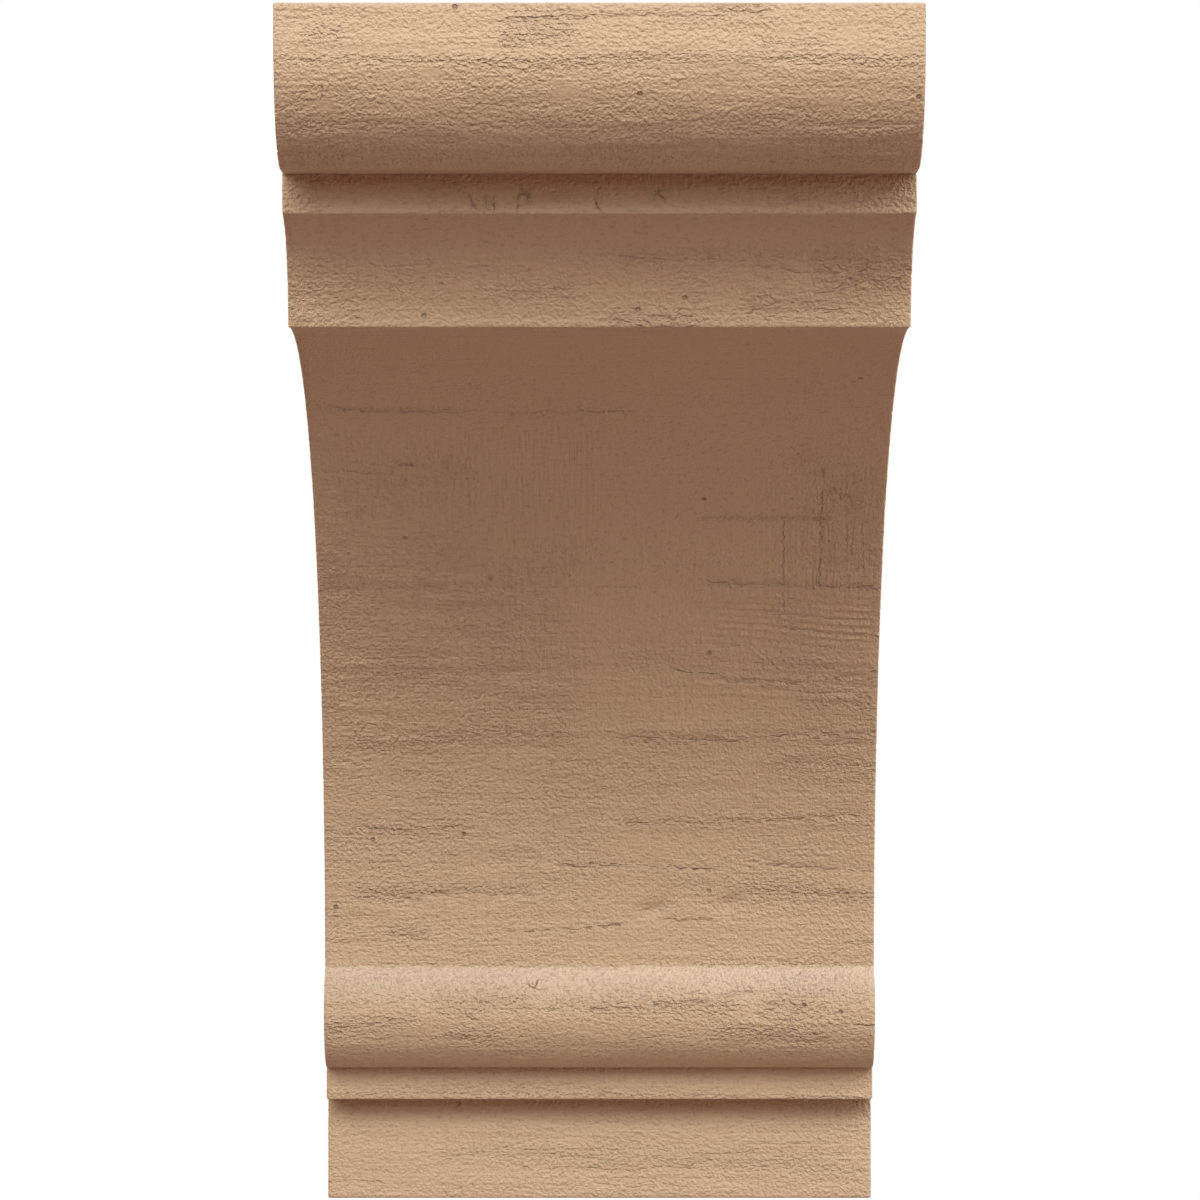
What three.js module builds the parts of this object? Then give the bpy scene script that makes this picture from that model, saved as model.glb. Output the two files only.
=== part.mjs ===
// A moulded urethane wall corbel with the look of rough-sawn timber: one solid casting.
// Its side profile is the same across the whole width. From the top down it has a roll, a
// fillet, a cavetto, a long cove, a bead, a second fillet and a flat band.
//
// Millimetres, +Z up. The origin is the middle of the flat back, which lies on the wall in the
// plane Y = 0. The corbel stands out from the wall towards -Y and is WIDTH wide along X.

import * as THREE from "three";

// Overall size of the block that the corbel is moulded to.
const WIDTH = 152.4;
const HEIGHT = 304.8;
const PROJECTION = 304.8;

// The roll: a short upright lip over a quarter round, then a flat soffit back to the fillet.
const LIP_HEIGHT = 9;
const ROLL_RADIUS = 27.8;
const ROLL_SOFFIT = 9;

// The upright fillet under the roll.
const UPPER_FILLET_HEIGHT = 9.6;

// The cavetto: a small hollow arc that runs back towards the wall as it drops.
const CAVETTO_RUN = 25.4;
const CAVETTO_DROP = 25.8;
const CAVETTO_SWEEP = 75;

// The cove: a long hollow arc that takes up whatever run and drop the other mouldings leave.
const COVE_SWEEP = 90;

// The bead under the cove: a narrow ledge that faces up, then a round that ends level.
const BEAD_LEDGE = 0.9;
const BEAD_HEIGHT = 28.4;
const BEAD_SWEEP = 140;

// The lower fillet and the flat band at the foot, each set back from the moulding above it.
const COVE_FOOT_STEP = 9.1;
const LOWER_FILLET_HEIGHT = 9;
const LOWER_FILLET_STEP = 8.7;
const BAND_HEIGHT = 28.4;
const BAND_PROJECTION = 43.8;

// The slight rounding that the mould leaves on the outer arrises, across and down the sides.
const ARRIS_RADIUS = 0.8;
const SIDE_ARRIS_RADIUS = 0.5;

// The longest turn, in degrees, that one flat facet makes on an arc and on a rounded arris.
const FACET_TURN = 3;
const ARRIS_FACET_TURN = 30;

const DEGREE = Math.PI / 180;

/** A corner of the profile: how far out from the wall, how high, and whether it is an arris. */
function corner(out, z, arris = false) {
  return { out, z, arris };
}

/**
 * The facets of a circular arc between two corners. The arc turns through sweep degrees as it
 * goes: a positive sweep gives a hollow moulding, and a negative one gives a round.
 */
function arc(from, to, sweep) {
  const turn = sweep * DEGREE;
  const run = to.out - from.out;
  const drop = to.z - from.z;
  const chord = Math.hypot(run, drop);
  // The centre lies off the middle of the chord, square to it.
  const offset = chord / 2 / Math.tan(turn / 2) / chord;
  const centreOut = (from.out + to.out) / 2 - drop * offset;
  const centreZ = (from.z + to.z) / 2 + run * offset;
  const facets = Math.ceil(Math.abs(sweep) / FACET_TURN);
  const points = [];
  for (let i = 1; i < facets; i += 1) {
    const angle = (turn * i) / facets;
    const dOut = from.out - centreOut;
    const dZ = from.z - centreZ;
    points.push(
      corner(
        centreOut + dOut * Math.cos(angle) - dZ * Math.sin(angle),
        centreZ + dOut * Math.sin(angle) + dZ * Math.cos(angle),
      ),
    );
  }
  return points;
}

/** The side profile as corners and facets, from the top of the wall face round to its foot. */
function profile() {
  const top = HEIGHT / 2;
  const foot = -HEIGHT / 2;

  // Each moulding starts where the one above it ends.
  const rollStart = corner(PROJECTION, top - LIP_HEIGHT);
  const rollEnd = corner(PROJECTION - ROLL_RADIUS, rollStart.z - ROLL_RADIUS);
  const filletTop = corner(rollEnd.out - ROLL_SOFFIT, rollEnd.z);
  const filletFoot = corner(filletTop.out, filletTop.z - UPPER_FILLET_HEIGHT, true);
  const cavettoEnd = corner(
    filletFoot.out - CAVETTO_RUN,
    filletFoot.z - CAVETTO_DROP,
    true,
  );

  // The foot is built upwards from the band, so that the cove fits between the two.
  const bandTop = corner(BAND_PROJECTION, foot + BAND_HEIGHT);
  const lowerFilletFoot = corner(bandTop.out + LOWER_FILLET_STEP, bandTop.z, true);
  const lowerFilletTop = corner(
    lowerFilletFoot.out,
    lowerFilletFoot.z + LOWER_FILLET_HEIGHT,
  );
  const coveEnd = corner(
    lowerFilletTop.out + COVE_FOOT_STEP,
    lowerFilletTop.z + BEAD_HEIGHT,
  );
  const beadStart = corner(coveEnd.out + BEAD_LEDGE, coveEnd.z, true);

  return [
    corner(0, top),
    corner(PROJECTION, top, true),
    rollStart,
    ...arc(rollStart, rollEnd, -90),
    rollEnd,
    filletTop,
    filletFoot,
    ...arc(filletFoot, cavettoEnd, CAVETTO_SWEEP),
    cavettoEnd,
    ...arc(cavettoEnd, coveEnd, COVE_SWEEP),
    coveEnd,
    beadStart,
    ...arc(beadStart, lowerFilletTop, -BEAD_SWEEP),
    lowerFilletTop,
    lowerFilletFoot,
    bandTop,
    corner(BAND_PROJECTION, foot, true),
    corner(0, foot),
  ];
}

/** A corner's place in the outline's own plane, whose x runs along +Y, back into the wall. */
function spot({ out, z }) {
  return new THREE.Vector2(-out, z);
}

/** The profile as a closed outline, with each outer arris replaced by a short rounded stretch. */
function outline() {
  const corners = profile();
  const points = [];
  for (let i = 0; i < corners.length; i += 1) {
    const at = spot(corners[i]);
    if (!corners[i].arris) {
      points.push(at);
      continue;
    }
    const before = spot(corners[i - 1]).sub(at);
    const after = spot(corners[i + 1]).sub(at);
    const turn = Math.PI - before.angleTo(after);
    const reach = ARRIS_RADIUS * Math.tan(turn / 2);

    // The rounding takes the place of any facets that lie within its reach.
    while (points.at(-1).distanceTo(at) <= reach) {
      points.pop();
    }
    while (spot(corners[i + 1]).distanceTo(at) <= reach) {
      i += 1;
    }
    const start = points.at(-1).clone().sub(at).setLength(reach).add(at);
    const end = spot(corners[i + 1]).sub(at).setLength(reach).add(at);
    const facets = Math.ceil(turn / DEGREE / ARRIS_FACET_TURN);
    points.push(...new THREE.QuadraticBezierCurve(start, at, end).getPoints(facets));
  }
  return new THREE.Shape(points);
}

/** The whole casting: the outline carried across the width, with eased arrises at both sides. */
function casting() {
  // A side arris rounder than the profile's own arrises would fold them over.
  const sideArris = Math.min(SIDE_ARRIS_RADIUS, 0.9 * ARRIS_RADIUS);
  const geometry = new THREE.ExtrudeGeometry(outline(), {
    depth: WIDTH - 2 * sideArris,
    steps: 1,
    bevelEnabled: true,
    bevelThickness: sideArris,
    bevelSize: sideArris,
    bevelOffset: -sideArris,
    bevelSegments: 2,
  });
  geometry.translate(0, 0, sideArris - WIDTH / 2);
  return geometry;
}

const tanPrimer = new THREE.MeshStandardMaterial({
  color: 0xb8977a,
  roughness: 0.8,
  metalness: 0,
});

const corbel = new THREE.Mesh(casting(), tanPrimer);
corbel.name = "corbel";
// The outline is drawn in the shape's XY plane. This turn lays its x along +Y and its y along
// +Z, so that the extrusion runs along +X.
corbel.rotation.set(Math.PI / 2, Math.PI / 2, 0);

const root = new THREE.Group();
root.add(corbel);

export default root;
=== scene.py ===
# %% [markdown]
# # A moulded urethane corbel with a rough-sawn face
#
# A corbel is the bracket under a beam or a shelf. This one is cast in one piece from urethane
# foam, in a mould that was taken from rough-sawn timber, and then primed in tan. So there is
# one body to model, and nearly all of its looks lie in its surface: the grain, the saw marks
# and the fine stipple that the light catches.
#
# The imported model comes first. It fixes the size and the place of the corbel, and the surface
# made below only dresses it. All lengths in this lesson are millimetres until a mesh is made.

# %% The frame
import math

import bpy
import numpy as np
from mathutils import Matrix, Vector
from mathutils.geometry import delaunay_2d_cdt


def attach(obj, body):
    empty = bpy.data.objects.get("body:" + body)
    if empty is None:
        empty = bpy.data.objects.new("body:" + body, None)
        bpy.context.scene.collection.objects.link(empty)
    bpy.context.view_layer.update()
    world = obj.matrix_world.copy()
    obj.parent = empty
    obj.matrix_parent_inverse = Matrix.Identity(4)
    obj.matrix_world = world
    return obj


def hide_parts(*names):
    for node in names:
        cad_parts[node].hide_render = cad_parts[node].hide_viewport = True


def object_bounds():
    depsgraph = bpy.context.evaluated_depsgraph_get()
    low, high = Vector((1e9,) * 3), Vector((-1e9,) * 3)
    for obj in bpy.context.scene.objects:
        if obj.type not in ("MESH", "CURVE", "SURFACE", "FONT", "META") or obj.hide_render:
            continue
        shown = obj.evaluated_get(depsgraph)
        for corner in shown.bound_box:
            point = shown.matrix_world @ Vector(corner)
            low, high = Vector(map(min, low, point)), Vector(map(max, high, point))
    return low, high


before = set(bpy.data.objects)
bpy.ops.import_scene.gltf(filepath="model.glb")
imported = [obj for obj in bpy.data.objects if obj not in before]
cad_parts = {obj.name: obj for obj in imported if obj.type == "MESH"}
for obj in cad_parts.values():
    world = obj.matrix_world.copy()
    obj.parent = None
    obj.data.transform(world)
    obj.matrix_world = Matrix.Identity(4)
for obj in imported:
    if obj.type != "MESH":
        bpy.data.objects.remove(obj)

MM = 0.001
cad_low, cad_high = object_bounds()
WIDTH, PROJECTION, HEIGHT = ((high - low) / MM for low, high in zip(cad_low, cad_high))
print(f"the corbel is {WIDTH:.1f} wide, {PROJECTION:.1f} deep and {HEIGHT:.1f} high")

# %% [markdown]
# ## The side profile
#
# Every moulding of the corbel runs straight across it, so one outline in the plane of the wall
# normal and the vertical says it all. It could be traced by hand as a bezier curve, but a
# joiner draws mouldings with a square and compasses: fillets are straight, and rolls, beads
# and coves are arcs. So the outline here is a list of straight and round stretches, each of
# which starts where the one before it ended.
#
# Its points are (out, z): the distance out from the wall, and the height above the middle.

# %% Sizes of the mouldings
LIP_HEIGHT = 9
ROLL_RADIUS = 27.8
ROLL_SOFFIT = 9
UPPER_FILLET_HEIGHT = 9.6
CAVETTO_RUN = 25.4
CAVETTO_DROP = 25.8
CAVETTO_SWEEP = 75
COVE_SWEEP = 90
BEAD_LEDGE = 0.9
BEAD_HEIGHT = 28.4
BEAD_SWEEP = 140
COVE_FOOT_STEP = 9.1
LOWER_FILLET_HEIGHT = 9
LOWER_FILLET_STEP = 8.7
BAND_HEIGHT = 28.4
BAND_PROJECTION = 43.8
ARRIS_RADIUS = 0.7

TOP = HEIGHT / 2
FOOT = -HEIGHT / 2

# %% Straight and round stretches
def straight(start, end, spacing):
    """Points from start up to but not including end, at even steps no longer than spacing."""
    start, end = np.array(start, float), np.array(end, float)
    steps = max(1, math.ceil(np.linalg.norm(end - start) / spacing))
    share = np.arange(steps)[:, None] / steps
    return start + (end - start) * share


def arc(start, end, sweep, spacing):
    """Points from start up to but not including end, on a circle's arc of sweep degrees.

    The centre lies off the middle of the chord, square to it, at half the chord over the
    tangent of half the sweep. Each point is the start turned about the centre by its share of
    the sweep. A positive sweep gives a hollow moulding, and a negative one a round.
    """
    start, end = np.array(start, float), np.array(end, float)
    turn = math.radians(sweep)
    chord = end - start
    square = np.array([-chord[1], chord[0]])
    centre = (start + end) / 2 + square / 2 / math.tan(turn / 2)
    length = np.linalg.norm(start - centre) * abs(turn)
    steps = max(2, math.ceil(length / spacing))
    angle = (turn * np.arange(steps) / steps)[:, None]
    spoke = start - centre
    turned = np.array([-spoke[1], spoke[0]])
    return centre + spoke * np.cos(angle) + turned * np.sin(angle)


# %% [markdown]
# ## How finely each stretch is cut
#
# The grain is modelled as real relief, so the mesh has to be fine where it is seen. The front
# is cut every 0.8 mm or so along the outline. The top, the underside of the foot and the back
# are flat and plain, and take longer steps, which keeps the whole piece under 200 000
# triangles.

# %% The outline
FRONT_STEP = 0.78
SOFFIT_STEP = 1.3
TOP_STEP = 5
FOOT_STEP = 5
BACK_STEP = 12

roll_start = (PROJECTION, TOP - LIP_HEIGHT)
roll_end = (PROJECTION - ROLL_RADIUS, roll_start[1] - ROLL_RADIUS)
fillet_top = (roll_end[0] - ROLL_SOFFIT, roll_end[1])
fillet_foot = (fillet_top[0], fillet_top[1] - UPPER_FILLET_HEIGHT)
cavetto_end = (fillet_foot[0] - CAVETTO_RUN, fillet_foot[1] - CAVETTO_DROP)
band_top = (BAND_PROJECTION, FOOT + BAND_HEIGHT)
lower_foot = (BAND_PROJECTION + LOWER_FILLET_STEP, band_top[1])
lower_top = (lower_foot[0], lower_foot[1] + LOWER_FILLET_HEIGHT)
cove_end = (lower_top[0] + COVE_FOOT_STEP, lower_top[1] + BEAD_HEIGHT)
bead_start = (cove_end[0] + BEAD_LEDGE, cove_end[1])

stretches = {
    "top": straight((0, TOP), (PROJECTION, TOP), TOP_STEP),
    "lip": straight((PROJECTION, TOP), roll_start, FRONT_STEP),
    "roll": arc(roll_start, roll_end, -90, FRONT_STEP),
    "soffit": straight(roll_end, fillet_top, SOFFIT_STEP),
    "upper_fillet": straight(fillet_top, fillet_foot, FRONT_STEP),
    "cavetto": arc(fillet_foot, cavetto_end, CAVETTO_SWEEP, FRONT_STEP),
    "cove": arc(cavetto_end, cove_end, COVE_SWEEP, FRONT_STEP),
    "ledge": straight(cove_end, bead_start, FRONT_STEP),
    "bead": arc(bead_start, lower_top, -BEAD_SWEEP, FRONT_STEP),
    "lower_fillet": straight(lower_top, lower_foot, FRONT_STEP),
    "step": straight(lower_foot, band_top, SOFFIT_STEP),
    "band": straight(band_top, (BAND_PROJECTION, FOOT), FRONT_STEP),
    "foot": straight((BAND_PROJECTION, FOOT), (0, FOOT), FOOT_STEP),
    "back": straight((0, FOOT), (0, TOP), BACK_STEP),
}
ARRISES = ("lip", "cavetto", "cove", "bead", "step", "foot")
print({name: len(points) for name, points in stretches.items()})

# %% [markdown]
# ## Eased arrises
#
# A cast part has no razor edges: where paint meets an outer corner, or arris, it is rounded by
# well under a millimetre, and that thin round is what catches the light as a fine bright line.
# A Bevel modifier could do it, but it would also cut every bump of the grain. So the round is
# put in the outline itself, before the grain is added.

# %% Rounding an arris
ARRIS_STEPS = 4
ARRIS_CLEARANCE = 1.2


def eased(points, corner):
    """The closed outline with the corner at index corner replaced by a short round.

    The round is a parabola from a point a little before the corner to one a little after it:
    (1-t)² times the first, plus 2t(1-t) times the corner, plus t² times the last. The two
    points lie a reach of ARRIS_RADIUS times the tangent of half the turn from the corner. The
    outline's own points within ARRIS_CLEARANCE reaches of the corner are left out.
    """
    here = points[corner]
    ring = np.roll(points, -corner, axis=0)[1:]
    before, after = ring[-1] - here, ring[0] - here
    cosine = before @ after / np.linalg.norm(before) / np.linalg.norm(after)
    reach = ARRIS_RADIUS * math.tan((math.pi - math.acos(cosine)) / 2)
    apart = np.linalg.norm(ring - here, axis=1)
    kept = ring[apart > ARRIS_CLEARANCE * reach]
    first = here + before / np.linalg.norm(before) * reach
    last = here + after / np.linalg.norm(after) * reach
    share = np.linspace(0, 1, ARRIS_STEPS + 1)[:, None]
    bend = (1 - share) ** 2 * first + 2 * share * (1 - share) * here + share**2 * last
    return np.concatenate([bend, kept])


# %% The closed outline
outline = np.concatenate(list(stretches.values()))
for name in ARRISES:
    corner = stretches[name][0]
    outline = eased(outline, int(np.argmin(np.linalg.norm(outline - corner, axis=1))))
start = int(np.argmin(np.linalg.norm(outline - np.array([0, TOP]), axis=1)))
outline = np.roll(outline, -start, axis=0)

steps = np.linalg.norm(np.roll(outline, -1, axis=0) - outline, axis=1)
along = np.concatenate([[0], np.cumsum(steps)[:-1]])
edge = np.roll(outline, -1, axis=0) - outline
edge_out = np.stack([-edge[:, 1], edge[:, 0]], axis=1) / steps[:, None]
before_out = np.roll(edge_out, 1, axis=0)
mitre = (before_out + edge_out) / (1 + np.sum(before_out * edge_out, axis=1))[:, None]
print(f"{len(outline)} points round the outline, {along[-1] + steps[-1]:.0f} mm in all")
print("shortest step", steps.min().round(3), "longest", steps.max().round(2))

# %% [markdown]
# ## From the outline to a grid
#
# The outline is now carried across the corbel, as a plane is pushed along a moulding. That
# gives a grid: a row for each point of the outline, and a column for each place across. The
# outermost columns turn the side arrises: each lies a little further out and a little further
# in from the surface, on a quarter circle.

# %% The columns
COLUMN_STEP = 1.4
SIDE_ARRIS = 0.5
SIDE_ARRIS_STEPS = 3

half = WIDTH / 2
inner = half - SIDE_ARRIS
straight_columns = np.linspace(-inner, inner, round(2 * inner / COLUMN_STEP) + 1)
quarter = np.linspace(0, math.pi / 2, SIDE_ARRIS_STEPS + 1)[:-1]
left_arris = -half + SIDE_ARRIS * (1 - np.cos(quarter))
across = np.concatenate([left_arris, straight_columns, -left_arris[::-1]])
sunk_left = SIDE_ARRIS * (1 - np.sin(quarter))
sunk = np.concatenate([sunk_left, np.zeros(len(straight_columns)), sunk_left[::-1]])
rows, columns = len(outline), len(across)
print(f"{rows} rows by {columns} columns, {2 * rows * columns} triangles round the outline")


# %% The skin
def skin(height):
    """Points of the skin as an array of rows by columns by (x, y, z).

    Each is the outline's point, moved along the mitre of its two edges by height less the
    depth that its column is sunk, and placed at its column across the corbel.
    """
    out_and_up = outline[:, None, :] + mitre[:, None, :] * (height - sunk)[:, :, None]
    x = np.broadcast_to(across, (rows, columns))
    return np.stack([x, -out_and_up[:, :, 0], out_and_up[:, :, 1]], axis=-1)


X, S = np.meshgrid(across, along)
bare = skin(np.zeros((rows, columns)))
print("the skin spans", bare.min(axis=(0, 1)).round(2), bare.max(axis=(0, 1)).round(2))

# %% [markdown]
# ## The camera, and where a pixel lands on the corbel
#
# The photograph was taken from straight in front, level with the middle of the corbel. Its
# outline gives the focal length: nearer mouldings look wider, and only one distance suits them
# all. The same few numbers also work backwards. A pixel of the photograph is one ray, and the
# first moulding that the ray meets is where a crack or a pit seen there belongs.

# %% Camera
PHOTO_SIZE = 1200
FOCAL_PIXELS = 5500
ROLL_PIXELS = 653.1
AXIS_PIXEL = (599.48, 655.4)
SENSOR = 36

reach = FOCAL_PIXELS * WIDTH / ROLL_PIXELS
camera_data = bpy.data.cameras.new("camera")
camera_data.sensor_width = SENSOR
camera_data.lens = FOCAL_PIXELS / PHOTO_SIZE * SENSOR
camera_data.shift_x = (PHOTO_SIZE / 2 - AXIS_PIXEL[0]) / PHOTO_SIZE
camera_data.shift_y = (AXIS_PIXEL[1] - PHOTO_SIZE / 2) / PHOTO_SIZE
camera = bpy.data.objects.new("camera", camera_data)
camera.location = (0, -(PROJECTION + reach) * MM, 0)
camera.rotation_euler = (math.radians(90), 0, 0)
bpy.context.scene.collection.objects.link(camera)
bpy.context.scene.camera = camera
print(f"a {camera_data.lens:.0f} mm lens, {reach:.0f} mm in front of the roll")

# %% A pixel on the skin
distance = reach + PROJECTION - outline[:, 0]
seen_row = AXIS_PIXEL[1] - FOCAL_PIXELS * outline[:, 1] / distance


def spot(pixel):
    """(x, along) in millimetres where the ray through a pixel of the photograph first lands.

    The outline's points project to rows of pixels. Wherever two neighbours lie above and below
    the pixel, the ray crosses the outline between them, and the crossing furthest out from the
    wall is the one that shows.
    """
    column, row = pixel
    upper, lower = seen_row[:-1], seen_row[1:]
    crossed = np.flatnonzero((upper - row) * (lower - row) <= 0)
    first = crossed[np.argmax(outline[crossed, 0])]
    share = (row - upper[first]) / (lower[first] - upper[first])
    depth = distance[first] + share * (distance[first + 1] - distance[first])
    return (column - AXIS_PIXEL[0]) * depth / FOCAL_PIXELS, along[first] + share * steps[first]


print("the middle of the photograph lies at", np.round(spot((600, 600)), 1), "on the skin")

# %% [markdown]
# ## Noise with a grain
#
# Sawn wood is rough in one direction and smooth in the other: marks run on along the fibres
# and change quickly across them. White noise blurred by a different amount each way has just
# that look. The blur is done on the noise's spectrum, where it is one multiplication.

# %% Noise
NOISE_CELL = 0.7
NOISE_FIELD = (1540, 450)


def grained(seed, length, breadth, u, v):
    """Noise of spread 1 at the places (u, v), where u runs along the fibres and v across them.

    Its spectrum is white noise times exp(-2π²(a²f² + b²g²)), which is a blur by a Gaussian of
    spread a = length along the fibres and b = breadth across them. It is made on even cells
    over NOISE_FIELD millimetres, past which it repeats, and read off between the four cells
    nearest to each place.
    """
    high, wide = (round(size / NOISE_CELL) for size in NOISE_FIELD)
    white = np.random.default_rng(seed).standard_normal((high, wide))
    f = np.fft.rfftfreq(wide, NOISE_CELL)[None, :]
    g = np.fft.fftfreq(high, NOISE_CELL)[:, None]
    blur = np.exp(-2 * math.pi**2 * ((length * f) ** 2 + (breadth * g) ** 2))
    smooth = np.fft.irfft2(np.fft.rfft2(white) * blur, s=(high, wide))
    smooth = (smooth - smooth.mean()) / smooth.std()
    i, t = np.divmod(v / NOISE_CELL, 1)
    j, s = np.divmod(u / NOISE_CELL, 1)
    i, j = i.astype(int) % high, j.astype(int) % wide
    i2, j2 = (i + 1) % high, (j + 1) % wide
    near = (1 - s) * smooth[i, j] + s * smooth[i, j2]
    far = (1 - s) * smooth[i2, j] + s * smooth[i2, j2]
    return (1 - t) * near + t * far


def ramp(value, low, high):
    """0 below low, 1 above high, and 3t² - 2t³ between them, where t runs from 0 to 1."""
    t = np.clip((value - low) / (high - low), 0, 1)
    return t * t * (3 - 2 * t)


print("noise spread on the skin", grained(1, 9, 1.2, X, S).std().round(2))

# %% [markdown]
# ## Cracks, saw ticks and pits
#
# The mould has kept the faults of one real board: drying cracks along the grain, upright ticks
# of the saw, and small round pits. They are placed where the photograph has them. Most are
# thinner than a cell of the mesh, so their grooves are left to the material, and the mesh
# carries the numbers from which they follow: how far each vertex is from the nearest crack,
# and how deep that crack is there. That distance changes evenly from vertex to vertex, so the
# crack comes out sharp however coarse the mesh is.

# %% Cracks and ticks, each by its depth and the pixels that it runs through
CRACKS = {
    "roll, upper": (1.4, [(508, 20), (525, 18), (544, 15), (575, 14), (600, 13)]),
    "roll, top right": (0.7, [(600, 14), (718, 14), (760, 10)]),
    "roll, line left": (0.45, [(283, 60), (352, 57), (362, 57), (405, 60), (600, 61)]),
    "roll, line right": (0.45, [(600, 57), (680, 62), (747, 61), (781, 63), (874, 61), (922, 60)]),
    "roll, mark": (0.7, [(322, 88), (321, 97)]),
    "roll, low left": (0.8, [(281, 128), (339, 130), (388, 134)]),
    "roll, low middle": (0.5, [(470, 124), (560, 121)]),
    "cavetto, ring": (0.4, [(480, 232), (492, 234), (494, 243), (484, 246)]),
    "cavetto, upper right": (0.7, [(613, 257), (642, 257), (678, 261)]),
    "cavetto, upper right again": (0.6, [(701, 259), (726, 258)]),
    "cavetto, far right": (0.8, [(762, 267), (806, 271), (818, 268)]),
    "cavetto, right swirl": (1.0, [(819, 290), (857, 285), (872, 281), (880, 287)]),
    "cavetto, right end": (1.0, [(858, 271), (884, 272), (911, 270)]),
    "cavetto, right lower": (0.8, [(747, 311), (780, 303), (806, 301), (812, 306), (838, 308)]),
    "cavetto, left faint": (0.4, [(383, 267), (429, 268)]),
    "cavetto, middle": (0.8, [(494, 289), (505, 292), (536, 290), (568, 291)]),
    "cavetto, foot": (0.8, [(611, 322), (650, 326), (693, 325)]),
    "cove, top left": (1.0, [(322, 408), (384, 412), (450, 409)]),
    "cove, top middle": (0.8, [(514, 414), (545, 412), (620, 411)]),
    "cove, top specks": (0.7, [(330, 474), (352, 473), (378, 475)]),
    "cove, top right": (0.4, [(747, 386), (762, 386)]),
    "cove, top right again": (0.4, [(802, 381), (819, 380)]),
    "cove, left": (1.1, [(427, 585), (440, 587), (459, 586)]),
    "cove, left line": (0.5, [(322, 585), (345, 587), (365, 584)]),
    "cove, saw foot left": (0.8, [(707, 581), (745, 584), (783, 585)]),
    "cove, saw foot": (1.2, [(817, 585), (850, 588), (881, 589)]),
    "cove, crumbs right": (0.5, [(698, 519), (760, 518), (830, 520)]),
    "cove, swirl right": (0.7, [(833, 488), (850, 497), (856, 511)]),
    "cove, faint left of arcs": (0.5, [(602, 587), (632, 587)]),
    "cove, upper arc": (0.5, [(771, 613), (820, 617), (876, 623)]),
    "cove, middle arc": (0.7, [(783, 626), (825, 632), (876, 639)]),
    "cove, short": (0.6, [(721, 647), (744, 646)]),
    "cove, long": (1.2, [(672, 670), (720, 675), (758, 681), (802, 681), (850, 676), (877, 674)]),
    "cove, under long": (0.6, [(728, 682), (800, 691), (876, 689)]),
    "cove, rough left": (0.7, [(344, 741), (380, 740), (420, 742), (470, 739)]),
    "cove, middle line": (1.1, [(620, 739), (658, 736), (702, 738), (727, 741), (758, 740)]),
    "cove, right line": (1.4, [(771, 736), (830, 733), (873, 734)]),
    "cove, right line below": (0.8, [(811, 746), (830, 744), (869, 744)]),
    "cove, crinkle right": (0.6, [(785, 763), (830, 765), (875, 767)]),
    "cove, low left": (1.1, [(353, 829), (400, 830), (464, 827)]),
    "cove, upper low left": (0.5, [(350, 795), (400, 796), (440, 792)]),
    "cove, rising": (1.0, [(620, 825), (658, 823), (691, 819), (723, 820)]),
    "cove, rising on": (1.0, [(723, 820), (754, 825), (792, 819), (859, 815)]),
    "cove, lower middle": (1.2, [(562, 864), (620, 866), (713, 868)]),
    "cove, lower right": (1.3, [(773, 866), (830, 869), (874, 871)]),
    "cove, foot left": (0.9, [(376, 896), (395, 897), (416, 900)]),
    "cove, foot middle": (0.8, [(429, 893), (454, 892), (473, 892), (528, 894)]),
    "cove, foot right": (1.2, [(825, 892), (850, 893), (875, 894)]),
    "cove, foot right again": (0.6, [(752, 892), (817, 893)]),
    "cove, under knots": (0.8, [(665, 921), (713, 918)]),
    "cove, last left": (0.7, [(389, 936), (425, 937)]),
    "cove, last": (1.1, [(496, 929), (530, 931), (620, 927)]),
    "cove, last right": (0.7, [(834, 944), (874, 942)]),
    "cove, foot line right": (0.6, [(780, 964), (830, 963), (874, 963)]),
    "bead, left": (1.1, [(323, 1031), (358, 1028), (383, 1024), (397, 1021)]),
    "bead, middle": (1.0, [(461, 1019), (468, 1018), (479, 1020)]),
    "bead, middle again": (0.9, [(547, 1010), (552, 1011), (558, 1012)]),
    "bead, upper left": (0.5, [(324, 1006), (345, 1007), (372, 1004)]),
    "bead, centre": (1.4, [(592, 1012), (605, 1010), (620, 1008), (640, 1007), (704, 1002)]),
    "bead, upper right": (0.7, [(721, 991), (770, 990), (834, 990)]),
    "bead, pit line": (0.8, [(771, 1003), (800, 1005), (825, 1004)]),
    "bead, right": (1.2, [(721, 1026), (740, 1027), (760, 1030), (795, 1031), (817, 1033)]),
    "bead, right end": (1.0, [(856, 1027), (866, 1028), (875, 1027)]),
    "bead, lower middle": (0.7, [(628, 1040), (660, 1037), (687, 1038)]),
    "bead, hook": (0.7, [(727, 1045), (738, 1047), (742, 1053)]),
    "bead, low left": (0.6, [(420, 1040), (445, 1036), (470, 1041)]),
    "band, left": (0.5, [(437, 1154), (500, 1153), (562, 1155)]),
    "band, right": (0.6, [(690, 1153), (754, 1154), (870, 1153)]),
    "band, middle": (0.5, [(585, 1170), (696, 1168)]),
    "band, low right": (0.5, [(600, 1184), (690, 1187)]),
    "band, foot": (0.5, [(330, 1182), (379, 1182)]),
}
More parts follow.
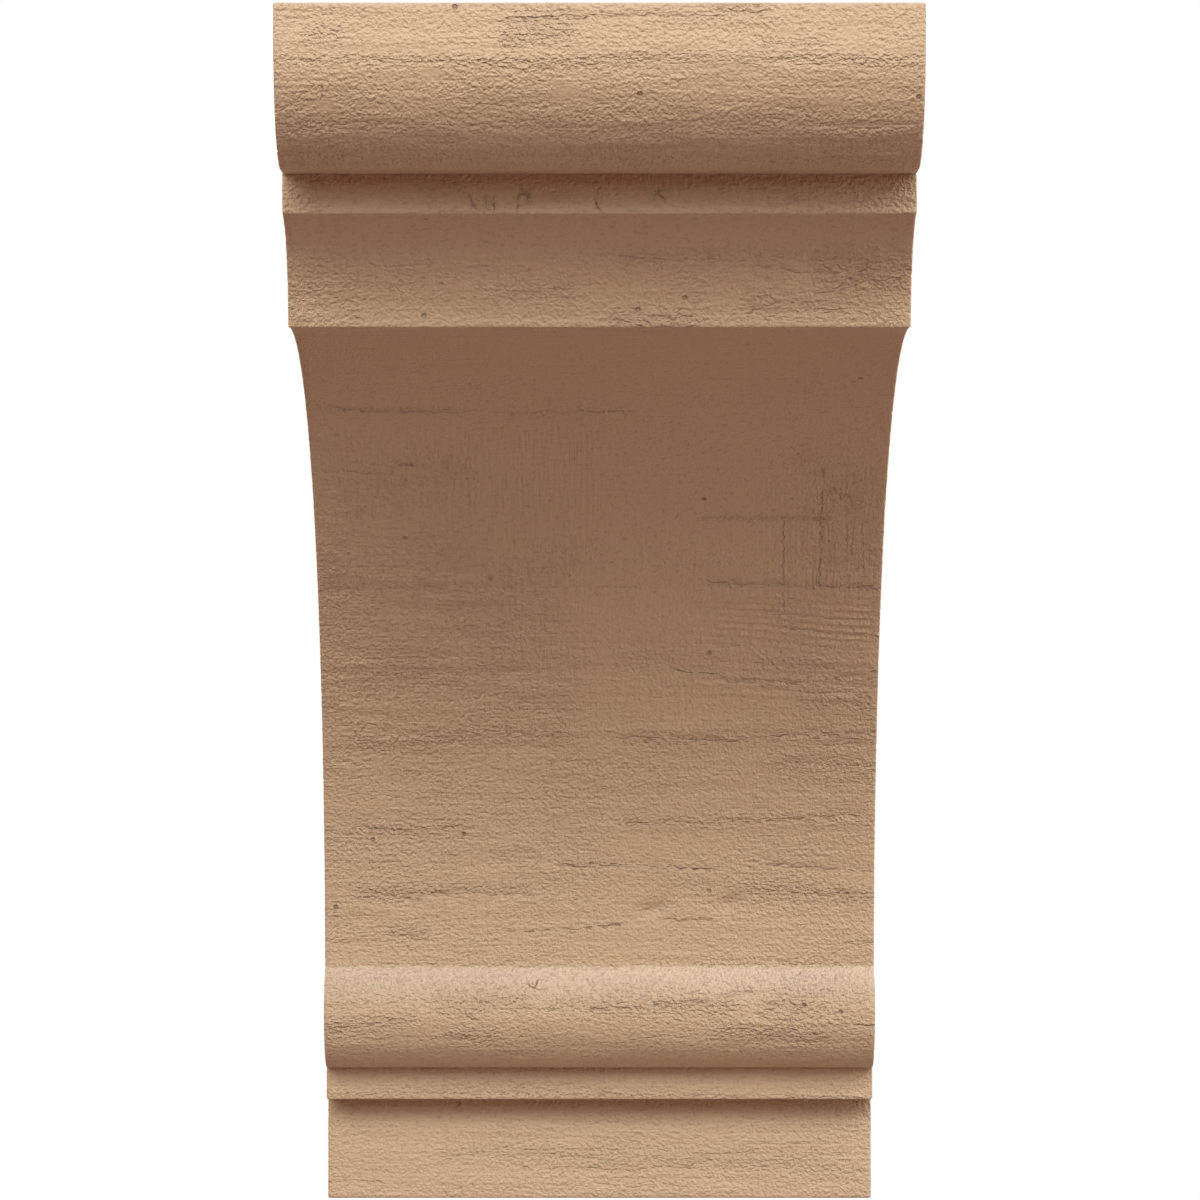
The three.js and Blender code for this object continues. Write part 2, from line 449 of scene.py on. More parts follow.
TICKS = {
    "cove, saw left": (1.0, [(823, 470), (821, 520), (819, 584)]),
    "cove, saw middle": (0.5, [(846, 500), (847, 572)]),
    "cove, saw right": (0.5, [(862, 520), (863, 576)]),
    "cove, tick": (0.8, [(783, 523), (784, 612)]),
    "bead, tick of two strokes": (1.6, [(530, 984), (535, 990), (539, 982)]),
    "bead, middle tick": (0.7, [(594, 985), (592, 992)]),
    "bead, right tick": (0.5, [(841, 1008), (843, 1022)]),
    "bead, ring": (0.5, [(772, 1010), (780, 1006), (790, 1009), (791, 1018)]),
    "upper fillet, left tick": (1.2, [(470, 196), (471, 204), (476, 208)]),
    "upper fillet, tick": (1.4, [(493, 199), (494, 208)]),
    "upper fillet, ring": (1.3, [(517, 206), (519, 192), (526, 188), (528, 197)]),
    "upper fillet, right tick": (1.2, [(597, 192), (595, 203), (600, 208)]),
    "upper fillet, far tick": (1.2, [(654, 196), (657, 190), (663, 200)]),
    "lower fillet, chip": (0.9, [(603, 1091), (610, 1093), (619, 1097)]),
    "lower fillet, left chip": (0.6, [(598, 1097), (607, 1095)]),
    "band, tick": (0.9, [(459, 1101), (458, 1107)]),
}
WOBBLE = 0.3
CRACK_REACH = 3.2
CRACK_END = 1.2
FAR = 99.0

# %% The nearest crack
crack_gap = np.full((rows, columns), FAR)
crack_depth = np.zeros((rows, columns))
wobble = WOBBLE * (grained(21, 5, 25, X, S) + grained(22, 1.6, 25, X, S))
segments = [
    (depth, spot(first), spot(last))
    for depth, pixels in (*CRACKS.values(), *TICKS.values())
    for first, last in zip(pixels, pixels[1:])
]
# For each segment: how far each vertex lies past its start, off its line and beyond its ends.
for depth, (x0, s0), (x1, s1) in segments:
    length = math.hypot(x1 - x0, s1 - s0)
    over, down = (x1 - x0) / length, (s1 - s0) / length
    past = (X - x0) * over + (S - s0) * down
    gap = (S - s0) * over - (X - x0) * down + wobble * over
    beyond = np.maximum(np.maximum(-past, past - length), 0)
    nearer = np.hypot(gap, beyond) < abs(crack_gap)
    fade = ramp(CRACK_END - beyond, 0, CRACK_END) * ramp(CRACK_REACH - abs(gap), 0, 1)
    crack_gap = np.where(nearer, gap, crack_gap)
    crack_depth = np.where(nearer, depth * fade, crack_depth)
print(len(segments), "segments of cracks, near", int((crack_depth > 0).sum()), "vertices")

# %% The nearest pit
PITS = {
    "roll, top": (455, 7, 1.0),
    "roll, middle": (640, 94, 1.0),
    "roll, right": (919, 97, 1.0),
    "cavetto, top": (425, 219, 0.6),
    "cavetto, right": (638, 310, 0.7),
    "cavetto, middle": (685, 298, 0.7),
    "cavetto, low": (424, 316, 0.7),
    "cove, top": (747, 344, 0.6),
    "cove, top right": (860, 378, 0.6),
    "cove, upper left": (400, 465, 0.5),
    "cove, upper left again": (411, 465, 0.7),
    "cove, right": (704, 499, 1.0),
    "cove, left": (405, 538, 0.7),
    "cove, middle": (490, 579, 0.7),
    "cove, arcs": (709, 653, 0.8),
    "cove, low left": (373, 840, 0.8),
    "cove, low": (464, 834, 1.0),
    "cove, foot left": (336, 907, 0.9),
    "cove, above knots": (709, 891, 0.7),
    "bead, right": (804, 1005, 0.9),
    "bead, far right": (841, 1012, 0.7),
}
PIT_REACH = 5

pit = np.full((rows, columns, 3), (FAR, FAR, 0))
for column, row, depth in PITS.values():
    x, s = spot((column, row))
    near = depth * (np.hypot(X - x, S - s) < PIT_REACH)
    offset = np.stack([X - x, S - s, near], axis=-1)
    nearer = np.linalg.norm(offset[..., :2], axis=-1) < np.linalg.norm(pit[..., :2], axis=-1)
    pit[nearer] = offset[nearer]
print(len(PITS), "pits")

# %% [markdown]
# ## Patches
#
# The surface isn't rough everywhere alike. Each patch below is a soft-edged box of pixels with
# a strength: where the saw has left upright stripes, and where the stipple is weak or strong.

# %% Patches, each by two opposite pixels and a strength
SAWN = {
    "cove, right": ((806, 470), (884, 592), 1.3),
    "cove, right fading": ((756, 480), (884, 606), 0.7),
    "cove, left": ((330, 470), (560, 740), 1.7),
    "cove, middle": ((480, 440), (560, 660), 0.25),
    "cove, left half": ((326, 430), (600, 962), 1.0),
    "cove, right half": ((600, 520), (878, 962), 0.3),
}
SMOOTH = {
    "roll, upper left": ((421, 65), (439, 80), 0.9),
    "roll, middle": ((554, 83), (576, 100), 0.9),
    "roll, left": ((317, 99), (337, 115), 0.8),
    "roll, right": ((777, 26), (797, 42), 0.8),
    "roll, far right": ((842, 26), (862, 42), 0.8),
    "roll, low right": ((820, 94), (842, 108), 0.8),
    "roll, ridge": ((272, 47), (928, 53), 0.6),
    "cavetto, top": ((286, 217), (914, 246), 0.55),
    "cove, top": ((300, 332), (900, 455), 0.45),
    "cove, middle": ((470, 335), (790, 560), 0.6),
    "cove, right": ((560, 560), (770, 640), 0.4),
    "cove, foot patch": ((503, 932), (528, 946), 0.8),
    "bead, patch": ((530, 995), (552, 1008), 0.9),
}
COARSE = {
    "roll, foot": ((272, 128), (926, 166), 0.8),
    "upper fillet": ((284, 180), (914, 210), 0.4),
    "upper fillet, left end": ((284, 182), (332, 212), 1.3),
    "cove, upper left": ((316, 430), (490, 560), 0.3),
    "cove, left": ((322, 540), (580, 740), 0.75),
    "cove, lower left": ((324, 700), (600, 960), 0.35),
    "bead, top": ((324, 967), (876, 998), 1.1),
}
PATCH_EDGE = 5
PATCH_EDGE_SHARE = 0.45


def patched(patches):
    """The strongest patch at each vertex: its strength well inside its box, and 0 well outside.

    The edge between them reaches PATCH_EDGE to each side of the box's own edge, or
    PATCH_EDGE_SHARE of the box's size where that is less.
    """
    found = np.zeros((rows, columns))
    for first, last, strength in patches.values():
        (x0, s0), (x1, s1) = spot(first), spot(last)
        edge = np.minimum(PATCH_EDGE, PATCH_EDGE_SHARE * np.array([x1 - x0, s1 - s0]))
        box = ramp(X, x0 - edge[0], x0 + edge[0]) * ramp(-X, -x1 - edge[0], -x1 + edge[0])
        box *= ramp(S, s0 - edge[1], s0 + edge[1]) * ramp(-S, -s1 - edge[1], -s1 + edge[1])
        found = np.maximum(found, strength * box)
    return found


sawn = patched(SAWN)
smooth = patched(SMOOTH)
coarse = patched(COARSE)
print("sawn over", sawn.mean().round(3), "smooth over", smooth.mean().round(3))

# %% [markdown]
# ## Smudges and torn fibre
#
# A few places are a little darker than the rest with no crack there, such as the two knots near
# the foot of the cove. Each is one Gaussian blot. Along some lines the saw has torn the fibres
# into crumbs, and there the surface is rougher. Each such band follows a line between two
# pixels, and slow noise moves its middle up and down, so that it doesn't look ruled.

# %% Smudges, each by its middle, its spread across and down in millimetres, and a strength
SMUDGES = {
    "knot, left": ((652, 907), 4.0, 1.8, 1.5),
    "knot, right": ((730, 900), 3.0, 2.0, 1.3),
    "upper fillet": ((476, 204), 5.0, 1.2, 0.5),
    "upper fillet, middle": ((522, 197), 3.0, 2.0, 0.4),
    "upper fillet, right": ((660, 198), 3.0, 2.0, 0.4),
    "roll, low left": ((337, 146), 2.2, 1.2, 0.7),
    "roll, low middle": ((476, 163), 3.5, 0.8, 0.6),
    "roll, low right": ((528, 164), 2.0, 0.8, 0.5),
    "cavetto, right": ((850, 262), 9.0, 2.0, 0.4),
    "cavetto, upper": ((650, 258), 9.0, 1.4, 0.6),
    "cove, top right": ((780, 385), 9.0, 1.0, 0.4),
    "cove, right": ((745, 584), 8.0, 0.8, 0.5),
}

smudge = np.zeros((rows, columns))
for pixel, over, down, strength in SMUDGES.values():
    x, s = spot(pixel)
    smudge += strength * np.exp(-(((X - x) / over) ** 2) - ((S - s) / down) ** 2)
print("smudged over", smudge.mean().round(4))

# %% Bands of torn fibre, each by the pixels of its ends, half its breadth and a strength
BANDS = {
    "roll, line left": ((270, 58), (600, 60), 1.4, 0.7),
    "roll, line right": ((600, 59), (930, 60), 1.4, 0.7),
    "roll, dents": ((498, 33), (575, 29), 3.6, 0.9),
    "roll, dents left": ((300, 35), (345, 33), 2.4, 0.7),
    "roll, upper right": ((715, 12), (770, 10), 1.6, 0.8),
    "roll, bumps right": ((757, 45), (825, 45), 1.2, 0.7),
    "roll, lower": ((272, 122), (930, 121), 2.2, 0.25),
    "cavetto, upper right": ((610, 260), (800, 262), 2.0, 0.5),
    "cavetto, far right": ((812, 276), (912, 274), 6.0, 0.9),
    "cavetto, dimples left": ((288, 300), (362, 300), 9.0, 0.25),
    "cavetto, middle": ((480, 292), (580, 291), 2.4, 0.4),
    "cavetto, foot": ((608, 321), (700, 322), 2.2, 0.7),
    "cavetto, right foot": ((745, 312), (905, 316), 4.0, 0.6),
    "cove, top left": ((322, 408), (470, 411), 1.8, 0.9),
    "cove, top middle": ((500, 413), (640, 411), 1.0, 0.7),
    "cove, left": ((322, 555), (345, 558), 6.0, 0.7),
    "cove, left line": ((322, 585), (475, 586), 1.4, 0.6),
    "cove, crumbs right": ((696, 518), (832, 520), 1.3, 0.8),
    "cove, swirl right": ((828, 490), (872, 508), 2.6, 0.7),
    "cove, right line": ((706, 584), (882, 588), 1.1, 0.9),
    "cove, saw dashes": ((822, 556), (882, 558), 6.0, 0.5),
    "cove, crinkles left": ((355, 672), (450, 664), 7.0, 0.6),
    "cove, below arcs": ((758, 663), (830, 664), 2.0, 0.6),
    "cove, right end": ((800, 704), (877, 706), 6.0, 0.6),
    "cove, rough left": ((340, 739), (575, 739), 2.2, 0.9),
    "cove, rough right": ((620, 737), (878, 738), 2.4, 0.6),
    "cove, right crinkles": ((770, 765), (877, 767), 4.0, 0.7),
    "cove, low left": ((326, 829), (464, 829), 1.4, 0.5),
    "cove, rising": ((620, 822), (878, 816), 1.8, 0.6),
    "cove, foot left": ((355, 893), (425, 897), 2.2, 1.0),
    "cove, foot middle": ((425, 892), (531, 893), 1.4, 0.7),
    "cove, foot right": ((745, 890), (878, 891), 2.0, 0.9),
    "cove, last": ((386, 934), (430, 936), 2.0, 0.6),
    "bead, left": ((322, 1028), (420, 1024), 2.6, 0.7),
    "bead, middle": ((430, 1015), (600, 1014), 4.0, 0.6),
    "bead, low middle": ((445, 1040), (500, 1040), 2.4, 0.9),
    "bead, centre": ((594, 1010), (740, 1004), 3.4, 0.8),
    "bead, right": ((715, 1029), (830, 1033), 2.4, 0.9),
    "bead, right end": ((760, 1006), (875, 1012), 3.4, 0.6),
    "lower fillet": ((328, 1094), (872, 1095), 0.6, 0.8),
    "band, middle": ((430, 1160), (870, 1160), 3.0, 0.4),
}
BAND_DRIFT = 0.4
BAND_END = 0.06
PATCHINESS = 0.14
ROUGHEST = 2.2

torn = np.zeros((rows, columns))
drift = grained(26, 14, 60, X, S)
for first, last, breadth, strength in BANDS.values():
    (x0, s0), (x1, s1) = spot(first), spot(last)
    share = (X - x0) / (x1 - x0)
    gap = S - s0 - share * (s1 - s0) + BAND_DRIFT * breadth * drift
    ends = ramp(share, -BAND_END, BAND_END) * ramp(1 - share, -BAND_END, BAND_END)
    torn = np.maximum(torn, strength * ends * np.exp(-((gap / breadth) ** 2)))
patchy = 1 + PATCHINESS * grained(27, 9, 4, X, S)
roughness_here = np.clip((1 - smooth) * (1 + coarse) * patchy + torn, 0, ROUGHEST)
print("torn over", torn.mean().round(3), "and at its roughest", roughness_here.max().round(2))

# %% [markdown]
# ## The relief
#
# What is wider than a few cells of the mesh is modelled: the slow waves of the sanded face, the
# long ridges of the grain, the knots, and the troughs that the cracks lie in. It fades out just
# before each inner corner and each arris, so that the mouldings keep their lines and the sides
# meet the skin cleanly.

# %% Relief on the skin
WAVE_HEIGHT = 0.055
GRAIN_HEIGHT = 0.045
FIBRE_HEIGHT = 0.04
TROUGH_DEPTH = 0.12
TROUGH_BREADTH = 0.9
CALM_AT_CORNER = (0.6, 2.4)
CALM_AT_SIDE = (0, 2.0)
KNOTS = {"left": (655, 908), "right": (729, 903)}
KNOT_TILT = math.radians(-35)
KNOT_LENGTH = 4.0
KNOT_BREADTH = 1.7
KNOT_DEPTH = 1.1
RIPPLE_DRIFT = 0.14
RIPPLES = {
    "cove, arcs": ((706, 596), (884, 652), 2.4, 0.09, 0.24),
    "cove, long arcs": ((690, 664), (880, 700), 2.9, 0.03, 0.19),
    "upper fillet, left": ((284, 180), (330, 212), 2.2, -0.5, 0.2),
    "cavetto, left": ((290, 282), (372, 326), 2.6, -0.12, 0.08),
}

corner_points = np.array([points[0] for name, points in stretches.items() if name != "top"])
corner_rows = np.linalg.norm(outline - corner_points[:, None], axis=2).argmin(axis=1)
from_corner = np.abs(along[:, None] - along[corner_rows][None]).min(axis=1)[:, None]
from_side = np.broadcast_to(inner - abs(across), (rows, columns))
calm = ramp(from_corner, *CALM_AT_CORNER) * ramp(from_side, *CALM_AT_SIDE)

waves = WAVE_HEIGHT * grained(1, 6, 3, X, S)
grain = GRAIN_HEIGHT * grained(2, 16, 0.9, X, S)
fibre = FIBRE_HEIGHT * grained(3, 3.2, 0.7, X, S)
trough = -TROUGH_DEPTH * crack_depth * np.exp(-((crack_gap / TROUGH_BREADTH) ** 2))
knots = np.zeros((rows, columns))
for pixel in KNOTS.values():
    x, s = spot(pixel)
    over = (X - x) * math.cos(KNOT_TILT) + (S - s) * math.sin(KNOT_TILT)
    down = (S - s) * math.cos(KNOT_TILT) - (X - x) * math.sin(KNOT_TILT)
    knots -= KNOT_DEPTH * np.exp(-((over / KNOT_LENGTH) ** 2) - (down / KNOT_BREADTH) ** 2)
ripples = np.zeros((rows, columns))
for first, last, spacing, slope, tall in RIPPLES.values():
    x0, s0 = spot(first)
    phase = (S - s0 - slope * (X - x0)) / spacing + RIPPLE_DRIFT * grained(28, 9, 7, X, S)
    ripples += tall * patched({"here": (first, last, 1)}) * np.sin(2 * math.pi * phase)
relief = calm * (waves + roughness_here * (grain + fibre) + trough + knots + ripples)
skin_points = skin(relief)
print("relief from", relief.min().round(2), "to", relief.max().round(2))

# %% [markdown]
# ## The two sides
#
# A side is a flat face with the outline as its edge, so no grid fits it. A single many-sided
# face would be closed, but it couldn't carry any grain. So the side is filled with points at
# an even spacing, and a Delaunay triangulation joins them to each other and to the edge. It is
# told to keep the edge, so the side meets the skin point for point.

# %% Filling a side
SIDE_STEP = 2.4
SIDE_JITTER = 0.18
EDGE_CLEARANCE = 1.1
INSIDE_ONLY = 1
SAME_POINT = 1e-6


def inside(points, loop):
    """True for each point that lies inside the closed loop.

    A ray from the point towards +x crosses the loop an odd number of times if it is inside.
    """
    a, b = loop, np.roll(loop, -1, axis=0)
    px, py = points[:, 0:1], points[:, 1:2]
    spans = (a[:, 1] > py) != (b[:, 1] > py)
    rise = np.where(b[:, 1] == a[:, 1], 1, b[:, 1] - a[:, 1])
    meets = a[:, 0] + (py - a[:, 1]) * (b[:, 0] - a[:, 0]) / rise
    return np.sum(spans & (px < meets), axis=1) % 2 == 1


def nearest(points, loop):
    """How far each point is from the nearest point of the loop, worked out in 20 batches."""
    return np.concatenate([
        np.linalg.norm(part[:, None] - loop[None], axis=2).min(axis=1)
        for part in np.array_split(points, 20)
    ])


def filled(loop, seed):
    """Vertices and triangles that fill a closed loop of (out, z) points.

    Points lie on a grid of SIDE_STEP, with every other row set over by half a step and each
    moved at random by up to SIDE_JITTER steps, and none nearer to the loop than EDGE_CLEARANCE.
    """
    rng = np.random.default_rng(seed)
    low, high = loop.min(axis=0), loop.max(axis=0)
    out, up = np.meshgrid(
        np.arange(low[0] + SIDE_STEP / 2, high[0], SIDE_STEP),
        np.arange(low[1] + SIDE_STEP / 2, high[1], SIDE_STEP),
    )
    out[::2] += SIDE_STEP / 2
    spots = np.stack([out.ravel(), up.ravel()], axis=1)
    spots += rng.uniform(-SIDE_JITTER, SIDE_JITTER, spots.shape) * SIDE_STEP
    spots = spots[inside(spots, loop)]
    spots = spots[nearest(spots, loop) > EDGE_CLEARANCE]
    every = np.concatenate([loop, spots]).tolist()
    first = np.arange(len(loop))
    ring = np.stack([first, np.roll(first, -1)], axis=1).tolist()
    found = delaunay_2d_cdt(every, ring, [], INSIDE_ONLY, SAME_POINT)
    return np.array(found[0]), np.array(found[2])


side_loop = skin_points[:, 0, 1:] * (-1, 1)
side_points, side_faces = filled(side_loop, seed=11)
print(f"a side has {len(side_points)} points and {len(side_faces)} triangles")
assert len(side_points) > rows and np.allclose(side_points[:rows], side_loop, atol=1e-4)

# %% Relief on the sides
SIDE_RELIEF = 0.16
SIDE_CALM = (0.5, 4)

side_own = side_points[rows:]
to_edge = nearest(side_own, side_loop)


def side_relief(seed):
    """Heights of a side's own points: long grain from front to back, with upright saw marks.

    0.8 of the grain, 0.5 of the saw marks and 0.8 of a slow wave, less 1.2 and never above 0,
    so that nothing stands out past the flat and the outline from the front stays straight.
    """
    out, up = side_own[:, 0], side_own[:, 1]
    grain = grained(seed, 24, 2.2, out, up)
    saw = grained(seed + 1, 30, 2.2, up, out)
    wave = grained(seed + 2, 9, 9, out, up)
    height = 0.8 * grain + 0.5 * saw + 0.8 * wave - 1.2
    return SIDE_RELIEF * ramp(to_edge, *SIDE_CALM) * np.minimum(height, 0)


left_relief, right_relief = side_relief(31), side_relief(41)
print("sides from", left_relief.min().round(2), "to", left_relief.max().round(2))

# %% [markdown]
# ## Joining the pieces into one mesh
#
# The skin is a grid of quads, and each side is a net of triangles that shares the skin's edge
# points. Blender takes a mesh as flat lists: where the points are, which points the corners of
# the faces use, and at which corner each face starts. numpy makes those lists whole.

# %% The whole surface
index = np.arange(rows * columns).reshape(rows, columns)
below = np.roll(index, -1, axis=0)
quads = np.stack([index[:, :-1], below[:, :-1], below[:, 1:], index[:, 1:]], axis=-1)
quads = quads.reshape(-1, 4)
left_own = rows * columns + np.arange(len(side_own))
right_own = left_own + len(side_own)
left_faces = np.concatenate([index[:, 0], left_own])[side_faces]
right_faces = np.concatenate([index[:, -1], right_own])[side_faces][:, ::-1]


def side_vertices(sign, heights):
    """A side's own points at (x, y, z), where sign is -1 for the left side and 1 for the right."""
    return np.stack([sign * (half + heights), -side_own[:, 0], side_own[:, 1]], axis=1)


vertices = np.concatenate([
    skin_points.reshape(-1, 3), side_vertices(-1, left_relief), side_vertices(1, right_relief)
])
corners = np.concatenate([quads.ravel(), left_faces.ravel(), right_faces.ravel()])
sizes = np.concatenate([np.full(len(quads), 4), np.full(2 * len(side_faces), 3)])
print(f"{len(vertices)} vertices, {2 * len(quads) + 2 * len(side_faces)} triangles")


# %% Into a mesh
def mesh_object(name, points, face_corners, face_sizes):
    """A new object whose mesh has these points, in millimetres, and these faces."""
    mesh = bpy.data.meshes.new(name)
    mesh.vertices.add(len(points))
    mesh.vertices.foreach_set("co", (points * MM).astype(np.float32).ravel())
    mesh.loops.add(len(face_corners))
    mesh.loops.foreach_set("vertex_index", face_corners.astype(np.int32))
    mesh.polygons.add(len(face_sizes))
    starts = np.concatenate([[0], np.cumsum(face_sizes)[:-1]])
    mesh.polygons.foreach_set("loop_start", starts.astype(np.int32))
    mesh.update(calc_edges=True)
    mesh.validate()
    made = bpy.data.objects.new(name, mesh)
    bpy.context.scene.collection.objects.link(made)
    return made


SHARP_ANGLE = 42

corbel = mesh_object("corbel_skin", vertices, corners, sizes)
corbel.data.shade_smooth()
corbel.data.set_sharp_from_angle(angle=math.radians(SHARP_ANGLE))
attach(corbel, "root")
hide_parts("corbel")
print(corbel.name, len(corbel.data.polygons), "faces")

# %% [markdown]
# ## Numbers that travel with the mesh
#
# The material needs to know where on the corbel it is, so the mesh carries a UV map in
# millimetres: across and along for the skin, and front to back and up for the sides. The back
# edge of the skin is where the count round the outline ends, so its last row of faces counts
# on past the end. A level stretch counts for only SLOPE_SHARE of its length, which draws the
# marks out there, as the photograph shows them. SIDE_SHIFT keeps the sides' patterns clear of
# the skin's. The cracks, pits and patches travel as attributes.

# %% The UV map and the attributes
SIDE_SHIFT = {"left": 1700, "right": 2300}
SLOPE_SHARE = 0.55

edge_travel = np.hypot(edge[:, 1], SLOPE_SHARE * edge[:, 0])
travel = np.concatenate([[0], np.cumsum(edge_travel)])
T = np.broadcast_to(travel[:, None], (rows + 1, columns))
quad_x = np.stack([X[:, :-1], X[:, :-1], X[:, 1:], X[:, 1:]], axis=-1)
quad_t = np.stack([T[:-1, :-1], T[1:, :-1], T[1:, 1:], T[:-1, 1:]], axis=-1)
skin_uv = np.stack([quad_x.ravel(), quad_t.ravel()], axis=1)
left_uv = side_points[side_faces.ravel()] + (0, SIDE_SHIFT["left"])
right_uv = side_points[side_faces[:, ::-1].ravel()] + (0, SIDE_SHIFT["right"])
grain_mm = np.concatenate([skin_uv, left_uv, right_uv]).astype(np.float32)
corbel.data.uv_layers.new(name="grain_mm").uv.foreach_set("vector", grain_mm.ravel())


def attribute(name, kind, values, side_value):
    """Store values on the skin's vertices, and one side_value on all the sides' own vertices."""
    values = values.reshape(rows * columns, -1)
    rest = np.broadcast_to(side_value, (2 * len(side_own), values.shape[1]))
    data = np.concatenate([values, rest]).astype(np.float32).ravel()
    made = corbel.data.attributes.new(name, kind, "POINT")
    made.data.foreach_set("vector" if kind == "FLOAT_VECTOR" else "value", data)


FACE_EDGE = 0.5
HIGHLIGHT_SLOPE = (0.05, 0.7)
TOP_HIGHLIGHT_LOSS = 0.6
BACK_ROUGH_LOSS = 0.8
BACK_PLAIN = 0.4
SIDE_ROUGH = 0.8
SIDE_SAWN = 0.5

on_back = ramp(-outline[:, :1], -FACE_EDGE, 0) * np.ones((rows, columns))
on_top = ramp(outline[:, 1:], TOP - FACE_EDGE, TOP) * np.ones((rows, columns))
# Painted highlight: faces that look up get a share of a paler, whiter primer, standing in for the light
# that falls on them. The top face gets less of it.
upward_highlight = ramp(edge_out[:, 1:], *HIGHLIGHT_SLOPE) * (1 - TOP_HIGHLIGHT_LOSS * on_top)
crack = np.stack([crack_gap, crack_depth, np.zeros_like(crack_gap)], axis=-1)
attribute("crack", "FLOAT_VECTOR", crack, (FAR, 0, 0))
attribute("pit", "FLOAT_VECTOR", pit, (FAR, FAR, 0))
attribute("sawn", "FLOAT", sawn, SIDE_SAWN)
attribute("smudge", "FLOAT", smudge, 0)
attribute("upward_highlight", "FLOAT", upward_highlight, 0)
attribute("rough", "FLOAT", roughness_here * (1 - BACK_ROUGH_LOSS * on_back), SIDE_ROUGH)
attribute("torn", "FLOAT", torn, 0)
attribute("plain", "FLOAT", np.maximum(on_top, BACK_PLAIN * on_back), 1)
attribute("back", "FLOAT", on_back, 0)
print([layer.name for layer in corbel.data.attributes if not layer.name.startswith(".")])

# %% [markdown]
# ## The primer
#
# The fine stipple has grains of less than a millimetre, about as small as a cell of the mesh,
# so it can't be modelled there. It is a height in the material, which bends the light as relief
# would. The height is a sum of noises stretched along the grain, less the grooves of the cracks
# and the pits. Wiring that up node by node is slow to write and hard to read, so a small class
# lets the sum be written as a sum: it wraps one socket, and each operator adds its Math nodes.

# %% Sums of sockets
primer = bpy.data.materials.new("tan_primer")
primer.use_nodes = True
tree = primer.node_tree
shader = tree.nodes["Principled BSDF"]


class Field:
    """A number that varies over the surface: one socket, with the sums that a height needs."""

    def __init__(self, socket):
        self.socket = socket

    @classmethod
    def node(cls, kind, settings, inputs, output=0):
        """The output of a new node, with its settings made first and its inputs set or linked."""
        made = tree.nodes.new(kind)
        for name, value in settings.items():
            setattr(made, name, value)
        for name, value in inputs.items():
            if isinstance(value, Field):
                tree.links.new(value.socket, made.inputs[name])
            else:
                made.inputs[name].default_value = value
        return cls(made.outputs[output])

    def math(self, operation, *others):
        """This number and the others put through one Math node."""
        return Field.node("ShaderNodeMath", {"operation": operation}, dict(enumerate((self, *others))))

    def __add__(self, other):
        return self.math("ADD", other)

    __radd__ = __add__

    def __mul__(self, other):
        return self.math("MULTIPLY", other)

    __rmul__ = __mul__

    def __sub__(self, other):
        return self.math("SUBTRACT", other)

    def __rsub__(self, other):
        return self * -1 + other

    def ramp(self, low, high):
        """0 below low and 1 above high, with a smooth step between them."""
        return Field.node(
            "ShaderNodeMapRange", {"interpolation_type": "SMOOTHSTEP"},
            {"Value": self, "From Min": low, "From Max": high},
        )


# %% Where each number comes from
place = Field.node("ShaderNodeUVMap", {"uv_map": "grain_mm"}, {})


def carried(name, output):
    """An attribute of the mesh: output 1 is its three numbers, and output 2 its one number."""
    return Field.node("ShaderNodeAttribute", {"attribute_name": name}, {}, output)


def parts(vector):
    """The three numbers of a vector, each as a Field."""
    return [Field.node("ShaderNodeSeparateXYZ", {}, {0: vector}, output) for output in range(3)]


def stretched(length, breadth, detail, turned=False):
    """Noise between -1 and 1 whose marks are length mm long with the grain and breadth wide.

    It is 2D noise at the UV map's place over those two sizes. Turned marks stand upright.
    """
    scale = (1 / breadth, 1 / length, 1) if turned else (1 / length, 1 / breadth, 1)
    scaled = Field.node("ShaderNodeVectorMath", {"operation": "MULTIPLY"}, {0: place, 1: scale})
    noise = Field.node(
        "ShaderNodeTexNoise", {"noise_dimensions": "2D"},
        {"Vector": scaled, "Scale": 1, "Detail": detail, "Roughness": 0.6},
    )
    return noise * 2 - 1


# %% [markdown]
# ## The fine heights
#
# The stipple is plain noise. The crumbs are the size of a noise without its sign, which gives sharp
# creases wherever the noise crosses zero. Saw marks are noise drawn out upright, with fainter level
# marks across them, and appear only where the patches say so. Torn fibre stands up where its own noise
# is high, and where it is low its colour is made darker, as painted shade in its hollows. A crack is a
# groove wherever the distance carried by the mesh is small. Fibre noise added to that distance makes
# its edge
# ragged, and a second noise breaks it up along its length. The plain faces, which the
# photograph doesn't show, get short splits along the grain, and the back gets the pinholes of
# a cast part.

# %% Heights in millimetres
STIPPLE = 0.22
CRUMB = 0.23
FIBRE = 0.1
LONG_GRAIN = 0.065
SAW_STRIPE = 0.16
LEVEL_STRIPE = 0.08
SAWN_PLAIN = 0.15
RAGGED = 0.8
CRACK_WIDTH = 0.34
CRACK_DEPTH = 0.32
CRUMBLE = 0.3
PIT_RADIUS = 0.78
PIT_DEPTH = 0.6
SPLIT_DEPTH = 0.3
BUBBLE_SPACING = 16
PINHOLE = 0.036

# %% Between which values of a noise from -1 to 1 each mark begins and is whole
TORN_HIGH = (-0.05, 0.3)
TORN_LOW = (-0.4, -0.1)
BROKEN = (-0.5, 0.05)
SPLIT = (0.36, 0.56)
SPLIT_ENDS = (-0.4, 0.2)
SPECKED = (0.05, 0.55)
STAINED = (-0.5, 0.4)

